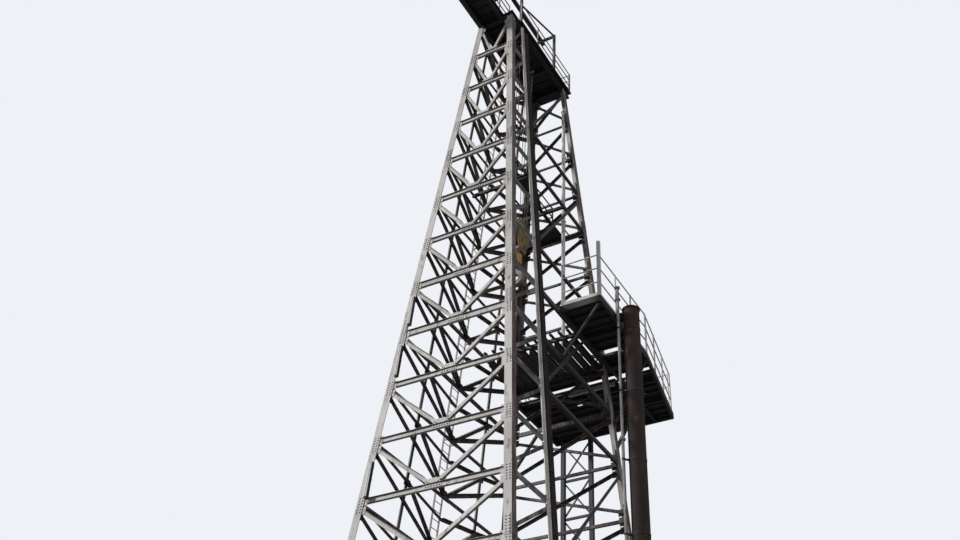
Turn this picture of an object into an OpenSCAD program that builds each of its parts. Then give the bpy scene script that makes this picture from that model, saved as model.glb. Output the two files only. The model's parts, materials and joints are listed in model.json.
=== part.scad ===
// Oil drilling derrick: a tapered open tower of angle steel with a racking platform half way up,
// a crown platform, a travelling block on its drilling lines and a ladder to the top.
// Millimetres, +Z up, +Y towards the back, ground at z = 0, tower axis at x = 0, y = 0.

/* [Tower] */
// Height of the leg tops above the ground
tower_h = 36000; // [30000:500:37000]
// Bracing panels from the ground to the leg tops
panels = 18; // [18:1:18]
// Width over the legs at the ground, left to right
base_w = 7270; // [6900:10:7800]
// Depth over the legs at the ground, front to back
base_d = 10500; // [9800:50:11500]
// Width over the legs at the top
top_w = 1600; // [1500:10:1680]
// Depth over the legs at the top
top_d = 4800; // [4500:50:5200]

/* [Legs] */
// Width of each flange of a leg angle
leg_w = 250; // [220:5:280]
// Thickness of a leg flange
leg_t = 20; // [14:1:24]
// Length of a splice plate over a leg joint
splice_len = 620; // [400:10:800]
// Height of the first leg joint, in panels
splice_level = 2.15; // [1.8:0.05:2.3]
// Thickness of a splice plate
splice_t = 14; // [8:1:20]
// Side of a square foot plate
foot_w = 640; // [600:10:760]
// Thickness of a foot plate
foot_t = 40; // [25:1:60]
// Diameter of an anchor bolt hole
anchor_d = 36; // [24:1:48]
// Distance between anchor bolt holes, both ways
anchor_pitch = 500; // [460:10:520]

/* [Bracing] */
// Width of a girt angle
girt_w = 140; // [100:5:160]
// Width of a girt angle at the platform level
heavy_girt_w = 190; // [150:5:210]
// Width of a diagonal angle
diag_w = 115; // [90:5:130]
// Width of a diagonal angle on the left face
left_diag_w = 145; // [110:5:150]
// Depth of the standing flange of the left face's diagonals
left_diag_depth = 140; // [90:5:150]
// Depth of the standing flange of the bracing angles
brace_depth = 90; // [60:5:100]
// Thickness of the bracing angles
brace_t = 10; // [8:1:14]
// Thickness of the gusset plates
gusset_t = 12; // [8:1:16]
// Distance of the side post's foot in front of the tower axis
post_foot_y = 2400; // [2200:50:2600]
// Distance of the side post's head in front of the tower axis
post_head_y = 1570; // [1450:10:1650]
// Width of the side post
post_w = 130; // [100:5:160]
// Width of the cable tray beside the side post
tray_w = 320; // [250:10:380]

/* [Racking platform] */
// Height of the platform deck
deck_z = 22000; // [21900:10:22100]
// Thickness of the deck plates
deck_t = 40; // [25:1:60]
// Depth of the deck beams
beam_h = 200; // [160:10:240]
// Width of the deck beams
beam_w = 100; // [80:5:120]
// Left edge of the rear deck
plat_x0 = -2300; // [-2600:50:-2000]
// Right edge of the side gallery
plat_x1 = 3500; // [3300:50:3600]
// Right edge of the rear deck at its back
plat_back_x = 2750; // [2500:50:3200]
// Front edge of the side gallery
plat_y0 = -350; // [-600:50:0]
// Rear edge of the platform
plat_y1 = 7750; // [7400:50:8100]
// Distance between neighbouring fingers for racked pipe
finger_pitch = 330; // [290:5:360]
// Height of the platform railing
rail_h = 1800; // [1100:50:2000]
// Height of the post at the platform's near corner
corner_post_h = 2350; // [1850:50:2500]
// Diameter of the posts and rails of the railings
rail_d = 60; // [40:2:80]

/* [Side column] */
// Diameter of the rusty pipe column beside the platform
column_d = 550; // [450:10:600]
// Place of the column to the right of the tower axis
column_x = 4000; // [3950:10:4200]
// Place of the column behind the tower axis
column_y = 1000; // [600:50:1400]

/* [Crown] */
// Depth of the water table beams
table_h = 300; // [240:10:340]
// Width of the water table beams
table_w = 200; // [160:5:220]
// Half the width of the crown deck
crown_half_w = 850; // [820:10:950]
// Front edge of the crown deck
crown_y0 = -1700; // [-1900:50:-1650]
// Rear edge of the crown deck
crown_y1 = 2900; // [2750:50:3100]
// Height of the crown railings
crown_rail_h = 1200; // [1000:50:1300]
// Front edge of the front crown platform
jib_y0 = -4300; // [-4600:50:-3800]
// Left edge of the front crown platform
jib_x0 = -740; // [-850:10:-700]
// Right edge of the front crown platform
jib_x1 = 330; // [250:10:450]
// Height of the gin pole frame above the leg tops
gin_h = 2900; // [2600:50:3200]

/* [Hoist] */
// Radius of the line on the sheaves
sheave_r = 460; // [430:10:480]
// Diameter of the drilling line
line_d = 32; // [24:1:38]
// Height of the crown sheave shaft
crown_shaft_z = 37050; // [37000:10:37100]
// Height of the travelling block shaft at rest
block_z = 26250; // [25500:50:26600]
// Distance between neighbouring sheaves
sheave_pitch = 110; // [100:2:120]
// Sheaves in the travelling block
block_sheave_count = 4; // [3:1:5]
// Clearance between pieces that are bolted together
seat_gap = 0.3; // [0.1:0.1:0.5]

/* [Hidden] */

cream = [0.74, 0.72, 0.66];
rust = [0.36, 0.20, 0.14];
dark = [0.22, 0.21, 0.22];
yellow = [0.85, 0.70, 0.10];
steel = [0.45, 0.45, 0.46];

panel_h = tower_h/panels;
lean_w = (base_w - top_w)/2/tower_h;
lean_d = (base_d - top_d)/2/tower_h;
door_top = 3;
low_top = 8;
mid_top = 13;
side_low_top = 6;
side_mid_top = 12;
heavy_levels = [10, 11];
long_girt_levels = [3, 6, 9, 10, 11, 12, 14, 15];

// Layers of a face, measured outwards from its plane
gusset_top = -leg_t - seat_gap;
bite = 2;
girt_top = gusset_top - gusset_t + bite;
diag_top = girt_top - 1;
end_in = leg_w/2 + 10;
tray_gap = 12;

// Ends of the bars and of their plates on a leg, up or down from the level of a girt
diag_in = 50;
diag_rise = 300;
girt_plate = 150;
diag_plate_near = 185;
diag_plate_far = 430;
plate_reach = 110;
foot_plate_gap = 60;

// Faces are numbered 0 front, 1 right, 2 back, 3 left
function tilt(i) = i % 2 == 0 ? atan(lean_d) : atan(lean_w);
function up_face(i, level) = level*panel_h/cos(tilt(i));
function half_w(z) = base_w/2 - lean_w*z;
function half_d(z) = base_d/2 - lean_d*z;
function edge(i, level) = i % 2 == 0 ? half_w(level*panel_h) : half_d(level*panel_h);
function on_leg(i, level, rise) = [edge(i, level) - end_in - diag_in, up_face(i, level) + rise];
function flip(p) = [-p[0], p[1]];
function has(list, value) = len([for (v = list) if (v == value) v]) > 0;

// Puts its children on a face: x runs along it, y up its slope, z outwards
module on_face(i) {
    dist = (i % 2 == 0 ? base_d : base_w)/2;
    rotate([0, 0, 90*i]) translate([0, -dist, 0]) rotate([90 - tilt(i), 0, 0]) children();
}

// A steel angle from p to q on a face, its outer side at height top
module angle_bar(p, q, w, top, depth = brace_depth) {
    d = q - p;
    translate([p[0], p[1], top]) rotate([0, 0, atan2(d[1], d[0])]) rotate([90, 0, 90])
        linear_extrude(norm(d))
            polygon([[-w/2, 0], [w/2, 0], [w/2, -brace_t], [brace_t - w/2, -brace_t],
                [brace_t - w/2, -depth], [-w/2, -depth]]);
}

// A flat plate with the given outline in the gusset layer of a face
module gusset(points) {
    translate([0, 0, gusset_top - gusset_t]) linear_extrude(gusset_t) polygon(points);
}

// The plate behind both leg flanges where bars meet the legs, from lower to upper end of the joint
module leg_gussets(i, level, below, above) {
    y = up_face(i, level);
    x0 = edge(i, level) - leg_w - plate_reach;
    x1 = edge(i, level) - end_in + 5;
    lean = (edge(i, level) - edge(i, level + 1))/panel_h;
    for (m = [1, -1])
        gusset([[m*(x0 + lean*below), y - below], [m*(x1 + lean*below), y - below],
            [m*(x1 - lean*above), y + above], [m*(x0 - lean*above), y + above]]);
}

function girt_size(level) = has(heavy_levels, level) ? heavy_girt_w : girt_w;

// Height of the underside of the girts inside a face, less the clearance of a seat
function under_girt(i, level) =
    level*panel_h - girt_size(level)/2*cos(tilt(i)) + (girt_top - brace_depth)*sin(tilt(i)) - seat_gap;

// The plate behind the middle of a girt, where two diagonals start
module mid_gusset(i, level) {
    half_len = 300;
    half_top = 130;
    below = 75;
    shoulder = 60;
    above = 250;
    y = up_face(i, level);
    gusset([[-half_len, y - below], [half_len, y - below], [half_len, y + shoulder], [half_top, y + above],
        [-half_top, y + above], [-half_len, y + shoulder]]);
}

module girt(i, level) {
    w = girt_size(level);
    end = [edge(i, level) - end_in, up_face(i, level)];
    angle_bar(flip(end), end, w, girt_top);
    leg_gussets(i, level, girt_plate, girt_plate);
}

// Two diagonals that rise from the middle of a girt to the legs
module rising_pair(i, level) {
    foot = [60, up_face(i, level) + 70];
    head = on_leg(i, level + 1, -diag_rise);
    w = i == 3 ? left_diag_w : diag_w;
    depth = i == 3 ? left_diag_depth : brace_depth;
    for (m = [1, -1]) angle_bar([m*foot[0], foot[1]], [m*head[0], head[1]], w, diag_top, depth);
    mid_gusset(i, level);
    leg_gussets(i, level + 1, diag_plate_far, -diag_plate_near);
}

// Two diagonals that cross in the middle of a panel
module crossing_pair(i, level) {
    plate = [130, 110];
    foot = on_leg(i, level, diag_rise);
    head = on_leg(i, level + 1, -diag_rise);
    for (m = [1, -1]) angle_bar([-m*foot[0], foot[1]], [m*head[0], head[1]], diag_w, diag_top);
    leg_gussets(i, level, -diag_plate_near, diag_plate_far);
    leg_gussets(i, level + 1, diag_plate_far, -diag_plate_near);
    mid = up_face(i, level + edge(i, level)/(edge(i, level) + edge(i, level + 1)));
    gusset([for (a = [0:60:300]) [plate[0]*cos(a), mid + plate[1]*sin(a)]]);
}

module v_bracing(i, from, to) {
    on_face(i)
        for (level = [from:to - 1]) {
            girt(i, level);
            rising_pair(i, level);
        }
}

module x_bracing(i, from, to) {
    on_face(i)
        for (level = [from:to - 1]) {
            girt(i, level);
            crossing_pair(i, level);
        }
}

// The tall opening at the foot of a face: two long bars lean together over it, tied to the legs
module door_frame(i) {
    foot = on_leg(i, 0, foot_t + 260);
    head = [150, up_face(i, door_top) - 330];
    foot_plate = 900;
    low_tie_rise = 800;
    head_overhang = 100;
    head_drop = 40;
    on_face(i) {
        for (m = [1, -1]) {
            angle_bar([m*foot[0], foot[1]], [m*head[0], head[1]], heavy_girt_w, girt_top);
            for (level = [1:door_top - 1]) {
                y = up_face(i, level);
                x = foot[0] + (head[0] - foot[0])*(y - foot[1])/(head[1] - foot[1]);
                tie_end = edge(i, level) - end_in;
                angle_bar([m*x, y], [m*tie_end, y], diag_w, diag_top);
                low = on_leg(i, level - 1, level == 1 ? low_tie_rise : diag_rise);
                angle_bar([m*low[0], low[1]], [m*x, y], diag_w, diag_top - 1);
            }
        }
        head_bar = head + [head_overhang, -head_drop];
        angle_bar(flip(head_bar), head_bar, girt_w, diag_top);
        leg_gussets(i, 0, -foot_t - foot_plate_gap, foot_plate);
        for (level = [1:door_top - 1])
            leg_gussets(i, level, girt_plate, level == door_top - 1 ? girt_plate : diag_plate_far);
    }
}

// Where the side post stands at a level, along the right face
function post_x(level) = (post_foot_y - post_head_y)*level/panels - post_foot_y;
function post_side(level) = post_x(level) + post_w/2;
function tray_end(level) = post_side(level) + tray_gap + tray_w;
post_lean = atan((post_foot_y - post_head_y)/up_face(1, panels));

// The right face is braced to the side post and open behind it but for a few long bars
module right_bracing(from, to) {
    plate_half = 100;
    foot_rise = foot_t + 500;
    foot_plate = 700;
    long_foot_in = 120;
    long_foot_rise = 350;
    long_head_drop = 500;
    bay_levels = 3;
    on_face(1)
        for (level = [from:to - 1]) {
            y = up_face(1, level);
            front_end = -(edge(1, level) - end_in);
            rear_end = has(long_girt_levels, level) ? -front_end : post_side(level);
            size = has(long_girt_levels, level) ? girt_size(level) : diag_w;
            if (level > 0) {
                angle_bar([front_end, y], [rear_end, y], size, girt_top);
                post_plate(level, -plate_half, plate_half);
            }
            diag_start = flip(on_leg(1, level, level == 0 ? foot_rise : diag_rise));
            diag_end = [post_x(level + 1) - 20, up_face(1, level + 1) - diag_rise];
            angle_bar(diag_start, diag_end, diag_w, diag_top);
            if (level == 0) leg_gussets(1, level, -foot_t - foot_plate_gap, foot_plate);
            else leg_gussets(1, level, girt_plate, diag_plate_far);
            post_plate(level + 1, -diag_plate_far, -diag_plate_near);
        }
    on_face(1)
        for (bay = [from:bay_levels:to - bay_levels]) {
            low = [tray_end(bay) + long_foot_in, up_face(1, bay) + (bay == 0 ? foot_rise + 60 : long_foot_rise)];
            high = on_leg(1, bay + bay_levels, -long_head_drop);
            angle_bar(low, high, diag_w, diag_top);
            leg_gussets(1, bay + bay_levels, foot_plate, -diag_plate_near);
        }
}

// The small plate that ties bars to the back of the side post, from below to above a level
module post_plate(level, below, above) {
    reach = 120;
    x0 = post_x(level) - reach;
    x1 = post_side(level);
    y = up_face(1, level);
    gusset([[x0, y + below], [x1, y + below], [x1, y + above], [x0, y + above]]);
}

// A long strip beside the side post, x measured from the post's middle
module post_strip(x, w, bottom, thick) {
    overrun = 600;
    on_face(1) translate([-post_foot_y, 0, 0]) rotate([0, 0, -post_lean])
        translate([x, -overrun, bottom]) cube([w, tower_h + 2*overrun, thick]);
}

// A T bar that stands on the right face, its web outwards
module side_post() {
    web_t = 20;
    web_h = 70;
    color(cream) slice(foot_t, tower_h) {
        post_strip(-post_w/2, post_w, -leg_t, leg_t);
        post_strip(-web_t/2, web_t, -bite, web_h + bite);
    }
}

// Keeps what lies between two heights
module slice(z0, z1) {
    intersection() {
        children();
        translate([-base_w, -base_d, z0]) cube([2*base_w, 2*base_d, z1 - z0]);
    }
}

// One flange of a leg on face i, at the side m, set back from the corner
module leg_flange(i, m, set_back) {
    ends = [-0.1, panels + 0.1];
    translate([0, 0, -leg_t]) linear_extrude(leg_t)
        polygon([
            [m*(edge(i, ends[0]) - set_back), up_face(i, ends[0])],
            [m*(edge(i, ends[1]) - set_back), up_face(i, ends[1])],
            [m*(edge(i, ends[1]) - leg_w), up_face(i, ends[1])],
            [m*(edge(i, ends[0]) - leg_w), up_face(i, ends[0])]]);
    outer_in = 30;
    inner_in = leg_w - 25;
    for (level = [splice_level:4:panels])
        translate([0, 0, -bite]) linear_extrude(splice_t + bite)
            polygon([for (c = [[outer_in, -0.5], [outer_in, 0.5], [inner_in, 0.5], [inner_in, -0.5]])
                [m*(edge(i, level + c[1]*splice_len/panel_h) - c[0]),
                    up_face(i, level) + c[1]*splice_len]]);
}

// Leg k stands between face k and the next one
module leg(k) {
    color(cream) slice(foot_t, tower_h) {
        on_face(k) leg_flange(k, 1, 0);
        on_face((k + 1) % 4) leg_flange((k + 1) % 4, -1, 5);
    }
}

// A square plate with four anchor holes under each leg
module foot_plates() {
    outwards = 10;
    inset = leg_w/2 - outwards;
    color(rust) for (x = [-1, 1], y = [-1, 1])
        translate([x*(base_w/2 - inset), y*(base_d/2 - inset), 0]) difference() {
            translate([-foot_w/2, -foot_w/2, 0]) cube([foot_w, foot_w, foot_t - seat_gap]);
            for (a = [-1, 1], b = [-1, 1])
                translate([a*anchor_pitch/2, b*anchor_pitch/2, -1])
                    cylinder(h = foot_t + 2, d = anchor_d, $fn = 32);
        }
}

// An open tray for cables beside the side post, with a lip on both sides
module cable_tray() {
    x0 = post_w/2 + tray_gap;
    sheet_t = 8;
    lip_h = 90;
    foot_z = foot_t + 500;
    color(rust) slice(foot_z, tower_h) {
        post_strip(x0, tray_w, -leg_t, sheet_t);
        for (x = [x0, x0 + tray_w - sheet_t]) post_strip(x, sheet_t, -leg_t, lip_h);
    }
}

// A ladder up the middle of the left face, held off the girts by short stays
module ladder() {
    foot_z = 60;
    above_top = 1100;
    stile_x = 210;
    stile_t = 20;
    stile_w = 60;
    stand_off = 150;
    rung_d = 26;
    rung_pitch = 300;
    top = up_face(3, panels) + above_top;
    color(cream) slice(foot_z, tower_h + above_top) on_face(3) {
        for (x = [-stile_x, stile_x])
            translate([x - stile_t/2, 0, stand_off]) cube([stile_t, top + rung_pitch, stile_w]);
        for (y = [rung_pitch:rung_pitch:top - rung_pitch])
            translate([-stile_x, y, stand_off + stile_w/2]) rotate([0, 90, 0])
                cylinder(h = 2*stile_x, d = rung_d, $fn = 8);
        for (level = [1:2:panels - 1], x = [-stile_x, stile_x])
            translate([x - stile_t/2, up_face(3, level) - stile_w/2, gusset_top + seat_gap])
                cube([stile_t, stile_w, stand_off - gusset_top + 10]);
    }
}

// Tube lamps on the front left leg
module lamps() {
    lamp_levels = [7.3, 9.4, 10.4];
    lamp_w = 110;
    lamp_len = 1200;
    lamp_t = 90;
    stand_off = 40;
    beside_leg = 60;
    bracket = [180, 50, stand_off + bite];
    bracket_out = 150;
    bracket_rise = [50, 450];
    color(cream) on_face(0) for (level = lamp_levels) {
        x = -(edge(0, level) - leg_w - beside_leg);
        y = up_face(0, level);
        translate([x - lamp_w/2, y - lamp_len/2, stand_off]) cube([lamp_w, lamp_len, lamp_t]);
        for (rise = bracket_rise)
            translate([x - bracket_out, y + rise - bracket[1]/2, seat_gap]) cube(bracket);
    }
}

// A beam with its lowest front left corner at p
module beam(p, size) {
    translate(p) cube(size);
}

beam_z = deck_z - deck_t - beam_h;

// A square bar between two points
module strut(p, q, side) {
    d = q - p;
    translate(p) rotate([0, acos(d[2]/norm(d)), atan2(d[1], d[0])])
        translate([-side/2, -side/2, 0]) cube([side, side, norm(d)]);
}

// The platform frame stands off the tower by this much
plat_gap = 75;
plat_in_x = half_w(deck_z) + plat_gap;
plat_in_y = half_d(deck_z) + plat_gap;
function plat_right(y) = plat_x1 - (plat_x1 - plat_back_x)*(y - plat_in_y)/(plat_y1 - plat_in_y);

// Two flat frames below the racking platform: beside the tower and behind it
module platform_beams() {
    side_cross_y = [plat_y0, 1500, plat_in_y - beam_w - seat_gap];
    rear_x = [plat_x0, -900, 500, plat_in_x];
    rear_cross_y = [plat_in_y, 4950, 6300, plat_y1 - beam_w];
    color(dark) {
        for (x = [plat_in_x, plat_x1 - beam_w])
            beam([x, plat_y0, beam_z], [beam_w, plat_in_y - plat_y0 - seat_gap, beam_h]);
        for (y = side_cross_y) beam([plat_in_x, y, beam_z], [plat_x1 - plat_in_x, beam_w, beam_h]);
        for (x = rear_x) beam([x, plat_in_y, beam_z], [beam_w, plat_y1 - plat_in_y, beam_h]);
        for (y = rear_cross_y)
            beam([plat_x0, y, beam_z], [plat_right(y + beam_w) - beam_w/2 - plat_x0, beam_w, beam_h]);
        translate([0, 0, beam_z]) linear_extrude(beam_h)
            polygon([[plat_x1 - beam_w, plat_in_y], [plat_x1, plat_in_y], [plat_back_x, plat_y1],
                [plat_back_x - beam_w, plat_y1]]);
    }
}

// A light beam slung under the rear deck
module tie_beam() {
    size = [1850, 110, 130];
    color(cream) beam([-50, 4350, beam_z - size[2] - seat_gap], size);
}

// A foot block on the outside of a face, at x along it and height z, standing on the layer at height top
module foot_block(i, x, z, top) {
    size = [120, 180, 50];
    on_face(i) translate([x - size[0]/2, z/cos(tilt(i)) - size[1]/2, top + seat_gap]) cube(size);
}

// Sloping struts that carry the platform on the tower, and arms that tie it to the column
module platform_braces() {
    side_z = 10*panel_h;
    leg_z = side_z - 500;
    rear_z = 18600;
    strut_x = plat_x1 - 60;
    strut_y = plat_y0 + 100;
    rear_strut_y = 6100;
    side_strut_w = 80;
    rear_strut_w = 100;
    head_z = beam_z + 40;
    off_leg = 40;
    leg_y = half_d(leg_z) - leg_w/2 - 10;
    leg_x = half_w(rear_z) - leg_w/2 - 10;
    arm_w = 80;
    arm_y = 120;
    arm_drop = 20;
    arm_reach = column_x - plat_x1 - sqrt(column_d*column_d/4 - arm_w*arm_w) - 2*seat_gap;
    color(dark) {
        slice(0, beam_z - seat_gap) {
            foot_block(1, strut_y, side_z, girt_top);
            strut([half_w(side_z) + 10, strut_y, side_z], [strut_x, strut_y, head_z], side_strut_w);
            foot_block(1, leg_y, leg_z, 0);
            strut([half_w(leg_z) + off_leg, leg_y, leg_z], [strut_x, leg_y, head_z], side_strut_w);
            for (m = [-1, 1]) {
                foot_block(2, -m*leg_x, rear_z, 0);
                strut([m*leg_x, half_d(rear_z) + off_leg, rear_z], [m*leg_x, rear_strut_y, head_z], rear_strut_w);
            }
        }
        for (m = [-1, 1])
            beam([plat_x1 + seat_gap, column_y + m*arm_y - arm_w/2, beam_z + arm_drop],
                [arm_reach, arm_w, beam_h - arm_drop]);
        on_face(1) cleat(1, 1);
        on_face(2) for (m = [-1, 1]) cleat(2, m);
    }
}

// A short block that fills the space between a leg flange and the platform frame
module cleat(i, m) {
    size = [180, 140, 50];
    level = (deck_z - deck_t - beam_h/2)/panel_h;
    x = m*(edge(i, level) - leg_w/2);
    translate([x - size[0]/2, up_face(i, level) - size[1]/2, seat_gap]) cube(size);
}

// Deck plates: the side gallery and the rear deck, with the gaps between them
module platform_deck() {
    z = deck_z - deck_t + seat_gap;
    slot_y = [2650, 2900];
    slot_x = 2800;
    rows = [plat_in_y, 4250, 4500, 5950, plat_y1];
    hatch_x = [1780, 2350];
    hole = [220, 200];
    hole_y = 5480;
    color(dark) {
        beam([plat_in_x, plat_y0, z], [plat_x1 - plat_in_x, slot_y[0] - plat_y0, deck_t]);
        beam([slot_x, slot_y[0] + seat_gap, z], [plat_x1 - slot_x, slot_y[1] - slot_y[0] - 2*seat_gap, deck_t]);
        beam([plat_in_x, slot_y[1], z], [plat_x1 - plat_in_x, plat_in_y - slot_y[1] - seat_gap, deck_t]);
        deck_strip(plat_x0, rows[0], rows[1]);
        deck_strip(hatch_x[1], rows[2], rows[3] - seat_gap);
        deck_strip(plat_x0, rows[3], rows[4]);
        translate([0, 0, z]) linear_extrude(deck_t) difference() {
            translate([plat_x0, rows[2]]) square([hatch_x[0] - plat_x0, rows[3] - seat_gap - rows[2]]);
            for (x = [-1000, -300]) translate([x, hole_y]) square(hole);
        }
    }
}

// A deck plate from x0 to the slanting right edge of the rear deck
module deck_strip(x0, y0, y1) {
    translate([0, 0, deck_z - deck_t + seat_gap]) linear_extrude(deck_t)
        polygon([[x0, y0], [plat_right(y0), y0], [plat_right(y1), y1], [x0, y1]]);
}

// Fingers inside the tower that hold racked pipe apart, on two cross beams under the girts
module finger_beams() {
    leg_gap = 150;
    y0 = 1100;
    y1 = half_d(deck_z) - leg_gap;
    reach = half_w(deck_z) - leg_gap;
    beam_top = under_girt(1, heavy_levels[1]);
    carrier_reach = reach + 100;
    first_x = 60 - reach;
    last_x = reach - 120;
    finger_w = 90;
    finger_h = 60;
    overhang = 250;
    finger_len = y1 - y0 + overhang - beam_w/2;
    color(dark) {
        for (y = [y0, y1 - beam_w])
            beam([-carrier_reach, y, beam_z], [2*carrier_reach, beam_w, beam_top - beam_z]);
        for (x = [first_x:finger_pitch:last_x])
            beam([x, y0 - overhang, beam_top + seat_gap], [finger_w, finger_len, finger_h]);
    }
}

gangway_level = 14;
gangway_mid_x = 560;

// A narrow gangway inside the right and rear faces above the travelling block, on beams under the girts
module inner_gangway() {
    z = under_girt(1, gangway_level);
    reach = half_w(z) - 150;
    y0 = -1150;
    y1 = half_d(z) - 170;
    inner_x = 430;
    inner_y = 1950;
    bend_y = 900;
    board_t = 45;
    carrier = [2*reach + 190, 100, 120];
    post = 50;
    rail_t = 40;
    handrail_h = 1000;
    color(dark) {
        for (y = [y0 + 50, 1000, y1 - 200]) beam([-carrier[0]/2, y, z - carrier[2]], carrier);
        translate([0, 0, z - bite]) linear_extrude(board_t + bite)
            polygon([[inner_x, y0], [reach, y0], [gangway_mid_x, bend_y], [gangway_mid_x, y1], [-reach, y1],
                [-reach, inner_y], [inner_x, inner_y]]);
        for (y = [y0, 400, inner_y]) beam([inner_x, y, z], [post, post, handrail_h]);
        beam([-reach, inner_y, z], [post, post, handrail_h]);
        for (dz = [handrail_h/2, handrail_h - rail_t]) {
            beam([inner_x, y0, z + dz], [rail_t, inner_y - y0 + rail_t, rail_t]);
            beam([-reach, inner_y, z + dz], [reach + inner_x, rail_t, rail_t]);
        }
    }
}

// Straight railing panels along a line of corner points, with two posts at each corner
module railing(points, z, h, posts_every) {
    corner_gap = 10;
    pipe_d = rail_d*0.8;
    toe = [8, 150];
    toe_z = 20;
    for (k = [0:len(points) - 2]) {
        d = points[k + 1] - points[k];
        start = points[k] + (k == 0 ? 0 : rail_d + corner_gap)*d/norm(d);
        run = norm(points[k + 1] - start);
        count = max(1, round(run/posts_every));
        translate([start[0], start[1], z]) rotate([0, 0, atan2(d[1], d[0])]) {
            for (j = [0:count]) translate([run*j/count, 0, 0]) cylinder(h = h, d = rail_d, $fn = 8);
            for (r = [h/3, h*2/3, h - rail_d/2])
                translate([0, 0, r]) rotate([0, 90, 0]) cylinder(h = run, d = pipe_d, $fn = 8);
            translate([0, -toe[0]/2, toe_z]) cube([run, toe[0], toe[1]]);
        }
    }
}

// The railing round the racking platform, with a taller post at its near corner
module platform_railing() {
    in = rail_d;
    z = deck_z + 2*seat_gap;
    corner_w = 110;
    front = plat_y0 + in;
    right = plat_x1 - in;
    rear = plat_y1 - in;
    left = plat_x0 + in;
    color(cream) {
        beam([right - corner_w/2, front - corner_w/2, z], [corner_w, corner_w, corner_post_h]);
        railing([[half_w(deck_z) + 140, front], [right, front], [right, plat_in_y], [plat_back_x - in, rear],
            [left, rear], [left, half_d(deck_z) + 200]], z, rail_h, 1400);
    }
}

// Two posts with crossed bars between them carry the rear of the platform
module rear_trestle() {
    posts = [-1900, -700];
    side = 160;
    foot = [520, 520, 30];
    rung = [60, 100];
    cross = [40, 60];
    cross_shift = 6;
    y = plat_y1 - beam_w - side/2;
    bay = 1600;
    first_z = 800;
    top = beam_z - seat_gap;
    gap = posts[1] - posts[0];
    color(dark) {
        for (x = posts) {
            beam([x - side/2, y - side/2, foot[2] + seat_gap], [side, side, top - foot[2] - seat_gap]);
            beam([x - foot[0]/2, y - foot[1]/2, 0], foot);
        }
        for (z = [first_z:bay:top - bay]) {
            beam([posts[0], y - rung[0]/2, z - rung[1]/2], [gap, rung[0], rung[1]]);
            for (m = [0, 1])
                translate([posts[m], y - cross[0]/2 + cross_shift*m, z])
                    rotate([0, -atan2(bay, (1 - 2*m)*gap), 0])
                        translate([0, 0, -cross[1]/2]) cube([norm([bay, gap]), cross[0], cross[1]]);
        }
    }
}

// A rusty pipe column from the ground to the edge of the platform
module side_column() {
    wall = 20;
    floor_z = 60;
    foot = [900, 900, 40];
    above_deck = 80;
    collar_h = 40;
    collar_w = 30;
    color(rust) translate([column_x, column_y, 0]) {
        difference() {
            cylinder(h = deck_z + above_deck - collar_h/2, d = column_d, $fn = 48);
            translate([0, 0, floor_z]) cylinder(h = deck_z, d = column_d - 2*wall, $fn = 48);
        }
        beam([-foot[0]/2, -foot[1]/2, 0], foot);
        translate([0, 0, deck_z + above_deck - collar_h])
            cylinder(h = collar_h, d = column_d + 2*collar_w, $fn = 48);
    }
}

table_z = tower_h + seat_gap;
table_x = top_w/2 - table_w/2 - 10;

// An I section along x, y = 0 at its middle, z = 0 at its underside
module i_section(w, h, t) {
    polygon([[-w/2, 0], [w/2, 0], [w/2, t], [t/2, t], [t/2, h - t], [w/2, h - t], [w/2, h], [-w/2, h],
        [-w/2, h - t], [-t/2, h - t], [-t/2, t], [-w/2, t]]);
}

// The beam frame on top of the legs
module water_table() {
    web = 18;
    cross_w = 150;
    cross_web = 14;
    jib_w = 140;
    front_in = 10;
    rear_in = 50;
    jib_in = 100;
    jib_x = jib_x1 - 80;
    jib_y = jib_y0 + 180;
    jib_joint_y = 30 - top_d/2;
    cross_y = [110 - top_d/2, -1000, 1000, top_d/2 - 110];
    clear = table_x - table_w/2 - seat_gap;
    rear = crown_y1 - rear_in;
    color(dark) {
        for (m = [-1, 1]) {
            front = m == 1 ? front_in - top_d/2 : jib_y0 + jib_in;
            translate([m*table_x, rear, table_z]) rotate([90, 0, 0])
                linear_extrude(rear - front) i_section(table_w, table_h, web);
        }
        for (y = cross_y)
            translate([-clear, y, table_z]) rotate([90, 0, 90])
                linear_extrude(2*clear) i_section(cross_w, table_h, cross_web);
        translate([jib_x, jib_joint_y, table_z]) rotate([90, 0, 0])
            linear_extrude(jib_joint_y - jib_y0 - jib_in) i_section(jib_w, table_h, cross_web);
        translate([-clear, jib_y, table_z]) rotate([90, 0, 90])
            linear_extrude(jib_x - jib_w/2 - seat_gap + clear) i_section(jib_w, table_h, cross_web);
    }
}

crown_deck_z = table_z + table_h + seat_gap;

// The crown deck with a hole for the drilling lines and a notch for the ladder
module crown_deck() {
    hole = [330, 600];
    notch_x = 690;
    plate_y = seat_gap - hole[1];
    plate_d = 2*hole[1] - 2*seat_gap;
    color(dark) {
        beam([-crown_half_w, crown_y0, crown_deck_z], [2*crown_half_w, -hole[1] - crown_y0, deck_t]);
        beam([-crown_half_w, hole[1], crown_deck_z], [2*crown_half_w, crown_y1 - hole[1], deck_t]);
        beam([-notch_x, plate_y, crown_deck_z], [notch_x - hole[0], plate_d, deck_t]);
        beam([hole[0], plate_y, crown_deck_z], [crown_half_w - hole[0], plate_d, deck_t]);
    }
}

// The railing round the crown deck, open at the ladder and towards the front platform
module crown_railing() {
    in = rail_d;
    x = crown_half_w - in;
    front = crown_y0 + in;
    rear = crown_y1 - in;
    z = crown_deck_z + deck_t + seat_gap;
    gate = 620;
    color(cream) {
        railing([[-x, front], [-x, -gate]], z, crown_rail_h, 1000);
        railing([[-x, gate], [-x, rear], [x, rear], [x, front]], z, crown_rail_h, 1300);
    }
}

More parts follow.
